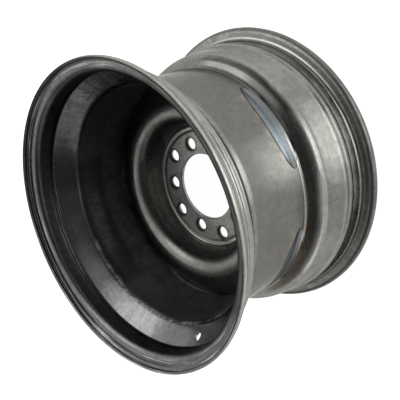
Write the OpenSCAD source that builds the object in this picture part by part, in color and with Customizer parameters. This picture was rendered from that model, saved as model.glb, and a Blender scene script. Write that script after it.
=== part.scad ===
// Bare steel wheel: a rolled drop-centre rim, a pressed centre disc and the weld beads that join them.
// Millimetres. The wheel lies on its brake-side flange: +Z is the axle line and points to the street side.

/* [Rim] */
// Width between the two tyre flanges
rim_w = 254; // [235:1:280]
// Bead seat diameter at the flange
bead_d = 380.2; // [376:0.1:386]
// Height of the flange crown above the bead seat
flange_h = 17.4; // [16:0.1:19]
// Sheet thickness of the rolled rim
rim_wall = 3.2; // [2.6:0.1:3.8]
// Outside radius of the rolled flange lip
lip_r = 7.5; // [6.5:0.1:8.5]
// How far the lip is rolled past its crown, in degrees
lip_roll = 35; // [15:1:60]
// Inside radius between flange and bead seat, on the tyre side
flange_root_r = 6.5; // [5:0.1:8]

/* [Bead seats] */
// Slope of the bead seats, in degrees
seat_slope = 5; // [4:0.5:6]
// Width of each bead seat, from the flange to the safety hump
seat_w = 18.6; // [17:0.1:21]
// Height of the safety hump above the seat beside it
hump_h = 1.5; // [1:0.1:2]
// Run of the hump's ramp on the seat side
hump_ramp = 3; // [2.6:0.1:4]
// Width of the brake-side hump's top
hump_top = 6.5; // [5.5:0.1:9]
// Run of the brake-side hump's ramp on the well side
hump_back = 4.5; // [4:0.1:6]
// Radius of the hump's bends, on the tyre side
hump_bend_r = 4.5; // [4:0.1:5]

/* [Well] */
// Depth of the drop well below the bead seat at the flange
well_depth = 25.1; // [22:0.1:28]
// Width of the street-side hump's top, which ends at the wall of the well
street_hump_top = 6.6; // [5.6:0.1:8]
// Slope of the street-side wall of the well, in degrees
street_wall_slope = 43.2; // [40:0.1:48]
// How far the floor of the well flares out towards the street-side wall
street_flare = 1.6; // [1:0.1:2]
// Width of the flare along the axle
street_flare_run = 12.5; // [11:0.1:14]
// Width of the brake-side ledge between hump and well
brake_ledge = 41; // [34:0.5:48]
// Slope of the brake-side ledge, in degrees
brake_ledge_slope = 5.6; // [4.5:0.1:6.5]
// Depth of the brake-side ledge below the bead seat at the flange, beside the hump
brake_ledge_drop = 3.1; // [2.9:0.1:3.5]
// Slope of the brake-side wall of the well, in degrees
brake_wall_slope = 45; // [38:1:52]
// Radius of the street-side bend at the top of the well, on the tyre side
street_edge_r = 8; // [6:0.1:9]
// Radius of the brake-side bend at the top of the well, on the tyre side
brake_edge_r = 20; // [12:0.5:22]
// Radius of the street-side bend at the foot of the well, on the tyre side
street_foot_r = 14; // [10:0.5:16]
// Radius of the bend at the inner end of the flare, on the tyre side
flare_bend_r = 8; // [6:0.5:12]
// Radius of the brake-side bend at the foot of the well, on the tyre side
brake_foot_r = 12; // [8:0.5:14]

/* [Press marks] */
// Number of marks where the well is pressed in on the disc
mark_count = 5; // [3:1:6]
// Length of a mark around the well
mark_l = 120; // [90:1:130]
// Width of a mark along the axle
mark_w = 26; // [22:0.5:27]
// Depth of a mark at its crease
mark_depth = 1.6; // [1:0.1:2]
// Depth of the small step around a mark
mark_step = 0.4; // [0.2:0.1:0.6]

/* [Valve hole] */
// Diameter of the valve hole
valve_d = 11.5; // [10:0.1:13]
// Angle of the valve hole about the axle
valve_angle = 255.8; // [240:0.1:264]
// Distance of the valve hole from the hump, down the wall
valve_down = 15.8; // [14:0.1:18]

/* [Disc] */
// Thickness of the pressed disc
disc_t = 5.2; // [4.4:0.1:5.8]
// Distance from the brake-side edge of the rim to the hub face
backspace = 108; // [103:0.5:112]
// Diameter of the centre bore
bore_d = 95.2; // [78:0.1:106]
// Chamfer at both edges of the centre bore
bore_chamfer = 0.8; // [0.4:0.1:1.5]
// Radius of the flat bolt pad
pad_r = 79.5; // [79:0.1:80.5]
// Depth of the groove around the bolt pad
groove_depth = 1.6; // [1:0.1:2]
// Run of the slope between pad and groove
groove_run = 3.6; // [3.2:0.1:4.2]
// Radius of the bend at the edge of the bolt pad, on the street side
pad_bend_r = 6.2; // [5.9:0.1:6.8]
// Radius of the bend at the foot of the groove's slope, on the street side
groove_bend_r = 4.5; // [4:0.1:5]
// Radius of the bowl wall at its foot
bowl_r = 88.6; // [88:0.1:92]
// Radius of the bend at the foot of the bowl, on the street side
bowl_foot_r = 4; // [3:0.1:4.4]
// Radius at which the crown is highest
crown_mid_r = 113.5; // [110:0.5:118]
// Height of the crown above the bolt pad
crown_h = 37.2; // [33:0.2:42]
// Radius of the crown's round, on the street side
crown_bend_r = 18; // [14:0.5:20]
// Radius of the bend between the disc's face and its skirt
skirt_bend_r = 8; // [7:0.1:10]
// Height of the skirt's corner above the bolt pad
skirt_top = 13.4; // [11:0.1:15]
// Height of the skirt, from its corner to its edge
skirt_h = 15.4; // [14:0.1:17]
// Clearance between the skirt and the press marks
skirt_clear = 0.1; // [0.05:0.05:0.2]

/* [Bolt holes] */
// Bolts in each circle
bolt_count = 5; // [4:1:5]
// Diameter of the small bolt circle
small_circle_d = 127; // [124:0.1:128]
// Diameter of the large bolt circle
large_circle_d = 139.7; // [136:0.1:141]
// Diameter of a bolt hole
bolt_d = 16; // [14:0.1:16.5]
// Radius of the flat around each hole of the large circle
seat_flat_r = 13; // [11:0.1:14]
// Depth of the cone seat on the street side
cone_depth = 2.6; // [1.5:0.1:3.2]
// Included angle of the cone seat, in degrees
cone_angle = 60; // [50:1:66]

/* [Weld beads] */
// Length of a bead around the skirt
bead_l = 84; // [60:1:96]
// Leg of a bead along the well
bead_leg = 4.8; // [3.5:0.1:5]
// Leg of a bead along the edge of the skirt
bead_foot = 4.2; // [3:0.1:4.4]
// How far the face of a bead bulges
bead_bulge = 0.6; // [0.3:0.1:0.8]

/* [Hidden] */
$fn = 180;
bend_step = 9;
cut_over = 1;

bead_r = bead_d / 2;
crown_r = bead_r + flange_h;
lip_mid_r = crown_r - lip_r;
lip_reach = lip_r * sin(lip_roll);
brake_crown_z = lip_reach;
brake_z = brake_crown_z + lip_r;
street_z = brake_z + rim_w;
street_crown_z = street_z + lip_r;

seat_end_r = bead_r - seat_w * tan(seat_slope);
hump_r = seat_end_r + hump_h;
hump_w = hump_ramp + hump_top + hump_back;
ledge_in = seat_w + hump_w;
well_r = bead_r - well_depth;
well_in_r = well_r - rim_wall;
street_hump_z = street_z - seat_w - hump_ramp;
street_edge = [hump_r, street_hump_z - street_hump_top];
street_foot_out = well_r + street_flare;
street_foot = [street_foot_out, street_edge[1] - (hump_r - street_foot_out) / tan(street_wall_slope)];
flare_end = [well_r, street_foot[1] - street_flare_run];
brake_edge = [
    bead_r - brake_ledge_drop - brake_ledge * tan(brake_ledge_slope),
    brake_z + ledge_in + brake_ledge
];
brake_foot = [well_r, brake_edge[1] + (brake_edge[0] - well_r) / tan(brake_wall_slope)];
brake_foot_run = brake_foot_r * tan(brake_wall_slope / 2);

pad_z = backspace + disc_t;
groove_z = pad_z - groove_depth;
crown_z = pad_z + crown_h;
crown_mid = [crown_mid_r, crown_z - crown_bend_r];
bowl_foot = [bowl_r, groove_z];
mark_floor_r = well_r - mark_depth;
land_r = well_in_r - mark_depth;
skirt_r = land_r - skirt_clear;
skirt_corner = [skirt_r, pad_z + skirt_top];
skirt_edge_z = skirt_corner[1] - skirt_h;
land_low_z = brake_foot[1] + brake_foot_run - brake_foot_r * sin(brake_wall_slope) / 2;
mark_z = land_low_z + mark_w / 2;
mark_pitch = 360 / mark_count;

bolt_pitch = 360 / bolt_count;
large_circle_turn = bolt_pitch / 2;
cone_d = bolt_d + 2 * cone_depth * tan(cone_angle / 2);
bead_angle = bead_l / land_r * 180 / PI;

wall_way = unit(street_foot - street_edge);
wall_out = left_of(wall_way);
valve_mid = street_edge + valve_down * wall_way - rim_wall / 2 * wall_out;
valve_tilt = atan2(wall_out[0], wall_out[1]);
valve_cut = 4 * rim_wall;

function unit(v) = v / norm(v);
function left_of(v) = [-v[1], v[0]];
function turned(v, a) = [v[0] * cos(a) - v[1] * sin(a), v[0] * sin(a) + v[1] * cos(a)];

// A path is a list of [point, normal on its left side].
// Round stretch about a centre, run clockwise
function round_run(mid, r, a0, a1) =
    let (steps = max(2, ceil(abs(a1 - a0) / bend_step)))
    [for (i = [0:steps]) let (d = turned([1, 0], a0 + (a1 - a0) * i / steps)) [mid + r * d, d]];

// Round bend of radius r at corner p, on the way from a to b
function bend(a, p, b, r) =
    let (
        u = unit(p - a),
        w = unit(b - p),
        side = sign(u[0] * w[1] - u[1] * w[0]),
        angle = acos(u * w),
        mid = p - u * r * tan(angle / 2) + side * r * left_of(u),
        steps = max(2, ceil(angle / bend_step))
    )
    [for (i = [0:steps]) let (d = turned(-side * left_of(u), side * angle * i / steps)) [mid + r * d, -side * d]];

// Bends at every corner of a chain of [r, z, bend radius], between a start and an end point
function bends(chain, start, end) = [
    for (i = [0:len(chain) - 1])
        let (
            a = i == 0 ? start : [chain[i - 1][0], chain[i - 1][1]],
            b = i == len(chain) - 1 ? end : [chain[i + 1][0], chain[i + 1][1]]
        )
        each bend(a, [chain[i][0], chain[i][1]], b, chain[i][2])
];

// Angle at which a line from p touches a circle, on the given side
function touch_angle(mid, r, p, side) =
    let (d = p - mid)
    atan2(d[1], d[0]) + side * acos(r / norm(d));

// Closed outline of a sheet of thickness t on the right side of a path
function sheet(path, t) = concat(
    [for (s = path) s[0]],
    [for (i = [len(path) - 1:-1:0]) path[i][0] - t * path[i][1]]
);

function rim_chain() = [
    [bead_r, street_z, flange_root_r],
    [seat_end_r, street_z - seat_w, hump_bend_r],
    [hump_r, street_hump_z, hump_bend_r],
    [street_edge[0], street_edge[1], street_edge_r],
    [street_foot[0], street_foot[1], street_foot_r],
    [flare_end[0], flare_end[1], flare_bend_r],
    [brake_foot[0], brake_foot[1], brake_foot_r],
    [brake_edge[0], brake_edge[1], brake_edge_r],
    [bead_r - brake_ledge_drop, brake_z + ledge_in, hump_bend_r],
    [hump_r, brake_z + seat_w + hump_ramp + hump_top, hump_bend_r],
    [hump_r, brake_z + seat_w + hump_ramp, hump_bend_r],
    [seat_end_r, brake_z + seat_w, hump_bend_r],
    [bead_r, brake_z, flange_root_r]
];

function rim_path() = concat(
    round_run([lip_mid_r, street_crown_z], lip_r, lip_roll, -90),
    bends(rim_chain(), [lip_mid_r, street_z], [lip_mid_r, brake_z]),
    round_run([lip_mid_r, brake_crown_z], lip_r, 90, -lip_roll)
);

function disc_path() =
    let (
        inner_touch = touch_angle(crown_mid, crown_bend_r, bowl_foot, -1) + 360,
        outer_touch = touch_angle(crown_mid, crown_bend_r, skirt_corner, 1),
        crown_in = crown_mid + crown_bend_r * [cos(inner_touch), sin(inner_touch)],
        crown_out = crown_mid + crown_bend_r * [cos(outer_touch), sin(outer_touch)],
        bore_edge = [bore_d / 2, pad_z],
        skirt_edge = [skirt_r, skirt_edge_z],
        pad_chain = [
            [pad_r, pad_z, pad_bend_r],
            [pad_r + groove_run, groove_z, groove_bend_r],
            [bowl_foot[0], bowl_foot[1], bowl_foot_r]
        ]
    )
    concat(
        [[bore_edge, [0, 1]]],
        bends(pad_chain, bore_edge, crown_in),
        round_run(crown_mid, crown_bend_r, inner_touch, outer_touch),
        bend(crown_out, skirt_corner, skirt_edge, skirt_bend_r),
        [[skirt_edge, [1, 0]]]
    );

// Long round-ended outline of a press mark, pushed outwards from the axle
module mark_prism(w, l) {
    translate([0, 0, mark_z])
        rotate([90, 0, 90])
            linear_extrude(crown_r) {
                square([l - w, w], center = true);
                for (s = [-1, 1])
                    translate([s * (l - w) / 2, 0])
                        circle(d = w);
            }
}

// Ring between the creased floor of the marks and the air over the well
module mark_floor_ring() {
    low = mark_z - mark_w / 2 - cut_over;
    high = mark_z + mark_w / 2 + cut_over;
    rotate_extrude()
        polygon([
            [bead_r, low],
            [bead_r, high],
            [well_r - mark_step, high],
            [mark_floor_r, mark_z],
            [well_r - mark_step, low]
        ]);
}

// Ring from the middle of the well's sheet to the seat of the skirt
module land_ring() {
    translate([0, 0, mark_z - mark_w / 2])
        difference() {
            cylinder(r = well_r - rim_wall / 2, h = mark_w);
            translate([0, 0, -cut_over])
                cylinder(r = land_r, h = mark_w + 2 * cut_over);
        }
}

module at_marks() {
    for (i = [0:mark_count - 1])
        rotate([0, 0, i * mark_pitch])
            children();
}

module valve_hole() {
    rotate([0, 0, valve_angle])
        translate([valve_mid[0], 0, valve_mid[1]])
            rotate([0, valve_tilt, 0])
                cylinder(d = valve_d, h = valve_cut, center = true);
}

// Rolled hoop with its two flanges, bead seats, humps, drop well, press marks and valve hole
module rim() {
    color([0.42, 0.42, 0.41])
        difference() {
            union() {
                rotate_extrude()
                    polygon(sheet(rim_path(), rim_wall));
                at_marks()
                    intersection() {
                        land_ring();
                        mark_prism(mark_w, mark_l);
                    }
            }
            at_marks()
                intersection() {
                    mark_floor_ring();
                    mark_prism(mark_w, mark_l);
                }
            valve_hole();
        }
}

module bolt_hole(circle_d, angle) {
    rotate([0, 0, angle])
        translate([circle_d / 2, 0, backspace]) {
            translate([0, 0, -cut_over])
                cylinder(d = bolt_d, h = disc_t + 2 * cut_over);
            translate([0, 0, disc_t - cone_depth])
                cylinder(d1 = bolt_d, d2 = cone_d, h = cone_depth);
            translate([0, 0, disc_t])
                cylinder(d = cone_d, h = cut_over);
        }
}

// Flat that carries the pad across the groove at a hole of the large circle
module seat_flat(angle) {
    rotate([0, 0, angle])
        translate([large_circle_d / 2, 0, backspace])
            cylinder(r = seat_flat_r, h = disc_t);
}

module bore_edge_cut() {
    edge_r = bore_d / 2 + bore_chamfer;
    translate([0, 0, backspace - cut_over])
        cylinder(r1 = edge_r + cut_over, r2 = edge_r - bore_chamfer - cut_over, h = bore_chamfer + 2 * cut_over);
    translate([0, 0, pad_z - bore_chamfer - cut_over])
        cylinder(r1 = edge_r - bore_chamfer - cut_over, r2 = edge_r + cut_over, h = bore_chamfer + 2 * cut_over);
}

// Pressed centre: bolt pad with two bolt circles, bowl, round crown and the skirt that sits in the well
module wheel_disc() {
    color([0.36, 0.36, 0.35])
        difference() {
            union() {
                rotate_extrude()
                    polygon(sheet(disc_path(), disc_t));
                for (i = [0:bolt_count - 1])
                    seat_flat(i * bolt_pitch + large_circle_turn);
            }
            bore_edge_cut();
            for (i = [0:bolt_count - 1]) {
                bolt_hole(small_circle_d, i * bolt_pitch);
                bolt_hole(large_circle_d, i * bolt_pitch + large_circle_turn);
            }
        }
}

// Fillet beads under the edge of the skirt, one at each press mark
module weld_beads() {
    toe = [land_r, skirt_edge_z - bead_leg];
    root = [land_r - bead_foot, skirt_edge_z];
    bulge = toe / 2 + root / 2 - bead_bulge * left_of(unit(root - toe));
    color([0.3, 0.3, 0.3])
        for (i = [0:mark_count - 1])
            rotate([0, 0, i * mark_pitch - bead_angle / 2])
                rotate_extrude(angle = bead_angle)
                    polygon([[land_r, skirt_edge_z], toe, bulge, root]);
}

rim();
wheel_disc();
weld_beads();
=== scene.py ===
import math

import bmesh
import bpy
from mathutils import Matrix, Vector


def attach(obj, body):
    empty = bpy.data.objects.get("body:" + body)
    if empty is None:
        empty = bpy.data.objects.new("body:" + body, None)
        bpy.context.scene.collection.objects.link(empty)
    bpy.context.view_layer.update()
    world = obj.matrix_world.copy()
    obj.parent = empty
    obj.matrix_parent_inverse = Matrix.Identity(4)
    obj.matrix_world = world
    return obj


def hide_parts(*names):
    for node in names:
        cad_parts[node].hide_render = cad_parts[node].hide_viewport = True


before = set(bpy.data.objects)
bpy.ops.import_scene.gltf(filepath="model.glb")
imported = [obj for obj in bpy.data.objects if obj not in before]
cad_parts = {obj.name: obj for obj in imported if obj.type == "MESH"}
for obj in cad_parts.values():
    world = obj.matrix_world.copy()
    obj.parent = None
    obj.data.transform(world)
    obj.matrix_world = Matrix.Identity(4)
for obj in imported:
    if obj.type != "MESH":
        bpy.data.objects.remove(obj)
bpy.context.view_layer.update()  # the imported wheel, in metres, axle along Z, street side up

print("wheel: frame loaded,", len(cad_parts), "nodes")


# Section drawing: points are (radius, height) on the half plane through the axle, lengths are in metres

sectionDetail = {
    "bendStep": 9.0,  # degrees between two points of a bend
    "runStep": 0.012,  # longest straight stretch left in one piece
    "turns": 256,  # steps of a full spin
    "mergeGap": 1e-6,  # points nearer than this are one
}


def leftOf(v):
    return Vector((-v.y, v.x))


def turned(v, degrees):
    return Matrix.Rotation(math.radians(degrees), 2) @ v


def roundRun(mid, radius, start, end):
    steps = max(2, math.ceil(abs(end - start) / sectionDetail["bendStep"]))
    run = []
    for i in range(steps + 1):
        out = turned(Vector((1, 0)), start + (end - start) * i / steps)
        run.append((mid + radius * out, out))
    return run


def bend(a, corner, b, radius):
    before = (corner - a).normalized()
    after = (b - corner).normalized()
    side = 1 if before.x * after.y - before.y * after.x > 0 else -1
    angle = math.degrees(before.angle(after))
    mid = corner - before * radius * math.tan(math.radians(angle / 2)) + side * radius * leftOf(before)
    steps = max(2, math.ceil(angle / sectionDetail["bendStep"]))
    run = []
    for i in range(steps + 1):
        out = turned(-side * leftOf(before), side * angle * i / steps)
        run.append((mid + radius * out, -side * out))
    return run


def bends(chain, start, end):
    corners = [start] + [Vector(c[:2]) for c in chain] + [end]
    path = []
    for i, c in enumerate(chain):
        path += bend(corners[i], corners[i + 1], corners[i + 2], c[2])
    return path


def touchAngle(mid, radius, point, side):
    d = point - mid
    return math.degrees(math.atan2(d.y, d.x) + side * math.acos(radius / d.length))


def sheetOutline(path, thickness):
    front = [p for p, out in path]
    back = [p - thickness * out for p, out in reversed(path)]
    return front + back


def refined(outline, fine=None):
    # splits long straight stretches; fine = (low, high, step) is a band of heights cut more closely
    points = []
    for a, b in zip(outline, outline[1:] + outline[:1]):
        stations = [0.0, 1.0]
        rise = b.y - a.y
        if fine and abs(rise) > sectionDetail["mergeGap"]:
            crossings = [(height - a.y) / rise for height in fine[:2]]
            stations += [t for t in crossings if 0 < t < 1]
        stations.sort()
        for t0, t1 in zip(stations, stations[1:]):
            p, q = a.lerp(b, t0), a.lerp(b, t1)
            inBand = fine and fine[0] < (p.y + q.y) / 2 < fine[1]
            step = fine[2] if inBand else sectionDetail["runStep"]
            count = max(1, math.ceil((q - p).length / step))
            points += [p.lerp(q, k / count) for k in range(count)]
    return points


# Modelling helpers

def deselectAll():
    if bpy.context.object and bpy.context.object.mode != "OBJECT":
        bpy.ops.object.mode_set(mode="OBJECT")
    bpy.ops.object.select_all(action="DESELECT")


def pick(*pieces):
    # selects these alone, the first one active
    deselectAll()
    for piece in pieces:
        piece.select_set(True)
    bpy.context.view_layer.objects.active = pieces[0]


def editPiece(piece):
    pick(piece)
    bpy.ops.object.mode_set(mode="EDIT")
    bpy.ops.mesh.select_all(action="DESELECT")


def leaveEdit():
    bpy.ops.object.mode_set(mode="OBJECT")


def spinSection(name, outline, angle=2 * math.pi, steps=None):
    # a plane shrunk to one point is pulled along the outline, closed and spun about the axle
    deselectAll()
    bpy.ops.mesh.primitive_plane_add(size=0.001, location=(0, 0, 0))
    piece = bpy.context.object
    piece.name = name
    piece.data.name = name
    bpy.ops.object.mode_set(mode="EDIT")
    bpy.ops.mesh.select_all(action="SELECT")
    bpy.ops.mesh.merge(type="CENTER")
    bpy.ops.transform.translate(value=(outline[0].x, 0, outline[0].y))
    for a, b in zip(outline, outline[1:]):
        bpy.ops.mesh.extrude_vertices_move(TRANSFORM_OT_translate={"value": (b.x - a.x, 0, b.y - a.y)})
    ring = bmesh.from_edit_mesh(piece.data)
    for v in ring.verts:
        v.select = len(v.link_edges) == 1
    ring.select_flush_mode()
    bmesh.update_edit_mesh(piece.data)
    bpy.ops.mesh.edge_face_add()
    bpy.ops.mesh.select_all(action="SELECT")
    bpy.ops.mesh.spin(
        steps=steps or sectionDetail["turns"], angle=angle, use_auto_merge=angle == 2 * math.pi,
        center=(0, 0, 0), axis=(0, 0, 1),
    )
    bpy.ops.mesh.select_all(action="SELECT")
    bpy.ops.mesh.remove_doubles(threshold=sectionDetail["mergeGap"])
    bpy.ops.mesh.normals_make_consistent(inside=False)
    leaveEdit()
    return piece


def smoothByAngle(piece, degrees):
    pick(piece)
    bpy.ops.object.shade_smooth_by_angle(angle=math.radians(degrees))


def cutWith(piece, cutter):
    pick(piece)
    cut = piece.modifiers.new("cut", "BOOLEAN")
    cut.operation = "DIFFERENCE"
    cut.solver = "MANIFOLD"
    cut.object = cutter
    bpy.ops.object.modifier_apply(modifier=cut.name)
    bpy.data.objects.remove(cutter)


def joined(pieces):
    pick(*pieces)
    bpy.ops.object.join()
    return pieces[0]


def smoothStep(low, high, value):
    t = min(1.0, max(0.0, (value - low) / (high - low)))
    return t * t * (3 - 2 * t)


def around(radius, degrees, height=0.0):
    a = math.radians(degrees)
    return Vector((radius * math.cos(a), radius * math.sin(a), height))


# Rim: one rolled hoop

rim = {
    "width": 0.254,  # between the tyre flanges
    "beadRadius": 0.1901,
    "flangeHeight": 0.0174,
    "wall": 0.0032,
    "lipRadius": 0.0075,
    "lipRoll": 35.0,  # degrees that a lip rolls on past its widest point
    "flangeRoot": 0.0065,  # bend between a flange and its bead seat
    "seatSlope": 5.0,
    "seatWidth": 0.0186,
    "humpHeight": 0.0015,
    "humpRamp": 0.003,
    "humpTop": 0.0065,
    "humpBack": 0.0045,
    "humpBend": 0.0045,
    "wellDepth": 0.0251,
    "streetHumpTop": 0.0066,
    "streetWallSlope": 43.2,
    "streetFlare": 0.0016,  # rise of the gentle slope between the well and its street wall
    "streetFlareRun": 0.0125,
    "brakeLedge": 0.043,
    "brakeLedgeSlope": 5.6,
    "brakeLedgeDrop": 0.0031,  # from the bead seat's radius
    "brakeWallSlope": 48.0,
    "streetEdge": 0.008,  # from here on, radii of the bends along the well
    "brakeEdge": 0.026,
    "streetFoot": 0.014,
    "flareBend": 0.008,
    "brakeFoot": 0.006,
    "sharpEdge": 40.0,  # degrees, less is shaded smooth
}

lipReach = rim["lipRadius"] * math.sin(math.radians(rim["lipRoll"]))
lipMidRadius = rim["beadRadius"] + rim["flangeHeight"] - rim["lipRadius"]
brakeZ = lipReach + rim["lipRadius"]
streetZ = brakeZ + rim["width"]
seatEnd = rim["beadRadius"] - rim["seatWidth"] * math.tan(math.radians(rim["seatSlope"]))
humpRadius = seatEnd + rim["humpHeight"]
humpIn = rim["seatWidth"] + rim["humpRamp"]
humpOut = humpIn + rim["humpTop"]
ledgeIn = humpOut + rim["humpBack"]
wellRadius = rim["beadRadius"] - rim["wellDepth"]
wellInner = wellRadius - rim["wall"]
streetEdge = Vector((humpRadius, streetZ - humpIn - rim["streetHumpTop"]))
footRadius = wellRadius + rim["streetFlare"]
streetFoot = Vector((
    footRadius,
    streetEdge.y - (humpRadius - footRadius) / math.tan(math.radians(rim["streetWallSlope"])),
))
flareEnd = Vector((wellRadius, streetFoot.y - rim["streetFlareRun"]))
brakeLedgeTop = rim["beadRadius"] - rim["brakeLedgeDrop"]
brakeEdge = Vector((
    brakeLedgeTop - rim["brakeLedge"] * math.tan(math.radians(rim["brakeLedgeSlope"])),
    brakeZ + ledgeIn + rim["brakeLedge"],
))
brakeFoot = Vector((
    wellRadius,
    brakeEdge.y + (brakeEdge.x - wellRadius) / math.tan(math.radians(rim["brakeWallSlope"])),
))

pressMarks = {
    "count": 5,
    "length": 0.126,
    "tipZ": 0.1125,  # height of a mark's two ends
    "streetHalf": 0.0174,  # from the ends' height to the street-side edge
    "brakeHalf": 0.0104,
    "creaseZ": 0.1145,  # height of the deepest line
    "roundness": 2.1,  # 2 is an ellipse, more is squarer
    "depth": 0.0016,
    "step": 0.0004,  # depth at the edge
    "soft": 0.0012,  # width of the rounded edge, on the tyre side
    "softInside": 0.0035,
    "margin": 0.006,  # band around a mark that is meshed finely
    "meshStep": 0.0018,  # height of the rows in that band
    "tipEnd": 0.02,  # share of the full width under which a tip has no crease
    "tipFade": 0.5,  # share of it from which the crease is full
    "leastSize": 0.05,  # keeps the distance steady in the middle of a mark
}
markLow = pressMarks["tipZ"] - pressMarks["brakeHalf"] - pressMarks["margin"]
markHigh = pressMarks["tipZ"] + pressMarks["streetHalf"] + pressMarks["margin"]
markPitch = 2 * math.pi / pressMarks["count"]
landRadius = wellInner - pressMarks["depth"]  # the back of a mark, where the disc sits


def rimPath():
    chain = [
        (rim["beadRadius"], streetZ, rim["flangeRoot"]),
        (seatEnd, streetZ - rim["seatWidth"], rim["humpBend"]),
        (humpRadius, streetZ - humpIn, rim["humpBend"]),
        (streetEdge.x, streetEdge.y, rim["streetEdge"]),
        (streetFoot.x, streetFoot.y, rim["streetFoot"]),
        (flareEnd.x, flareEnd.y, rim["flareBend"]),
        (brakeFoot.x, brakeFoot.y, rim["brakeFoot"]),
        (brakeEdge.x, brakeEdge.y, rim["brakeEdge"]),
        (brakeLedgeTop, brakeZ + ledgeIn, rim["humpBend"]),
        (humpRadius, brakeZ + humpOut, rim["humpBend"]),
        (humpRadius, brakeZ + humpIn, rim["humpBend"]),
        (seatEnd, brakeZ + rim["seatWidth"], rim["humpBend"]),
        (rim["beadRadius"], brakeZ, rim["flangeRoot"]),
    ]
    streetLip = Vector((lipMidRadius, streetZ + rim["lipRadius"]))
    brakeLip = Vector((lipMidRadius, lipReach))
    return (
        roundRun(streetLip, rim["lipRadius"], rim["lipRoll"], -90)
        + bends(chain, Vector((lipMidRadius, streetZ)), Vector((lipMidRadius, brakeZ)))
        + roundRun(brakeLip, rim["lipRadius"], 90, -rim["lipRoll"])
    )


def radiusAt(stretch, height):
    # radius of a stretch of outline that falls steadily, at a height
    for a, b in zip(stretch, stretch[1:]):
        if b.y <= height <= a.y:
            t = (a.y - height) / max(a.y - b.y, 1e-9)
            return a.x + t * (b.x - a.x)
    return None


def markDistance(angle, height):
    # signed distance to the edge of the nearest press mark, below zero inside it
    local = (angle / markPitch + 0.5) % 1.0 - 0.5
    across = height - pressMarks["tipZ"]
    long, wide = pressMarks["length"] / 2, pressMarks["streetHalf" if across > 0 else "brakeHalf"]
    power = pressMarks["roundness"]
    u, v = abs(local) * markPitch * wellRadius / long, abs(across) / wide
    size = max(pressMarks["leastSize"], (u ** power + v ** power) ** (1 / power))
    growth = size ** (1 - power) * math.hypot(u ** (power - 1) / long, v ** (power - 1) / wide)
    return (size - 1) / max(growth, 1 / long)


def markSlope(angle, height):
    # 1 on the crease of a mark, 0 at its edges
    local = (angle / markPitch + 0.5) % 1.0 - 0.5
    u = abs(local) * markPitch * wellRadius / (pressMarks["length"] / 2)
    width = max(0.0, 1 - u ** pressMarks["roundness"]) ** (1 / pressMarks["roundness"])
    if width <= pressMarks["tipEnd"]:
        return 0.0
    crease = pressMarks["tipZ"] + (pressMarks["creaseZ"] - pressMarks["tipZ"]) * width
    rise = height - crease
    half = pressMarks["streetHalf"] if rise > 0 else -pressMarks["brakeHalf"]
    edge = pressMarks["tipZ"] - crease + width * half
    return max(0.0, 1 - rise / edge) * smoothStep(0, pressMarks["tipFade"], width)


def pressMarksIn(piece, path):
    nearWell = [(p, out) for p, out in path if streetFoot.y > p.y > brakeEdge.y]
    outer = [p for p, out in nearWell]
    inner = [p - rim["wall"] * out for p, out in nearWell]
    editPiece(piece)
    mesh = bmesh.from_edit_mesh(piece.data)
    for f in mesh.faces:
        c = f.calc_center_median()
        near = markDistance(math.atan2(c.y, c.x), c.z) < pressMarks["margin"]
        if near and markLow < c.z < markHigh:
            f.select_set(True)
    bmesh.update_edit_mesh(piece.data)
    bpy.ops.mesh.subdivide(number_cuts=1)
    mesh = bmesh.from_edit_mesh(piece.data)
    for v in mesh.verts:
        if not markLow < v.co.z < markHigh:
            continue
        r = math.hypot(v.co.x, v.co.y)
        angle = math.atan2(v.co.y, v.co.x)
        tyreSide, axleSide = radiusAt(outer, v.co.z), radiusAt(inner, v.co.z)
        if tyreSide and abs(r - tyreSide) < rim["wall"] / 2:
            surface, soft = tyreSide, pressMarks["soft"]
            sunk = (pressMarks["depth"] - pressMarks["step"]) * markSlope(angle, v.co.z)
            pressed = wellRadius - pressMarks["step"] - sunk
        elif axleSide and abs(r - axleSide) < rim["wall"] / 2:
            surface, soft = axleSide, pressMarks["softInside"]
            pressed = landRadius
        else:
            continue
        inside = 1 - smoothStep(-soft, soft, markDistance(angle, v.co.z))
        wanted = surface + inside * min(0.0, pressed - surface)
        v.co.x *= wanted / r
        v.co.y *= wanted / r
    bmesh.update_edit_mesh(piece.data)
    bpy.ops.mesh.select_all(action="SELECT")
    bpy.ops.mesh.normals_make_consistent(inside=False)
    leaveEdit()


valveHole = {
    "radius": 0.00575,
    "angle": 255.8,
    "down": 0.0158,  # from the hump, along the wall
    "corners": 48,
    "cutWalls": 4,  # length of the cutter in sheet thicknesses
}


def cutValveHole(piece):
    wallWay = (streetFoot - streetEdge).normalized()
    wallOut = leftOf(wallWay)
    mid = streetEdge + valveHole["down"] * wallWay - rim["wall"] / 2 * wallOut
    aim = around(wallOut.x, valveHole["angle"], wallOut.y)
    deselectAll()
    bpy.ops.mesh.primitive_cylinder_add(
        vertices=valveHole["corners"], radius=valveHole["radius"], depth=valveHole["cutWalls"] * rim["wall"],
        location=around(mid.x, valveHole["angle"], mid.y), rotation=aim.to_track_quat("Z", "Y").to_euler(),
    )
    cutWith(piece, bpy.context.object)


def makeRim():
    path = rimPath()
    outline = refined(sheetOutline(path, rim["wall"]), (markLow, markHigh, pressMarks["meshStep"]))
    piece = spinSection("rolled_rim", outline)
    pressMarksIn(piece, path)
    cutValveHole(piece)
    smoothByAngle(piece, rim["sharpEdge"])
    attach(piece, "root")
    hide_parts("rim")
    print("wheel: rim,", len(piece.data.polygons), "faces")
    return piece


rolledRim = makeRim()


# Disc: one pressed centre

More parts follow.
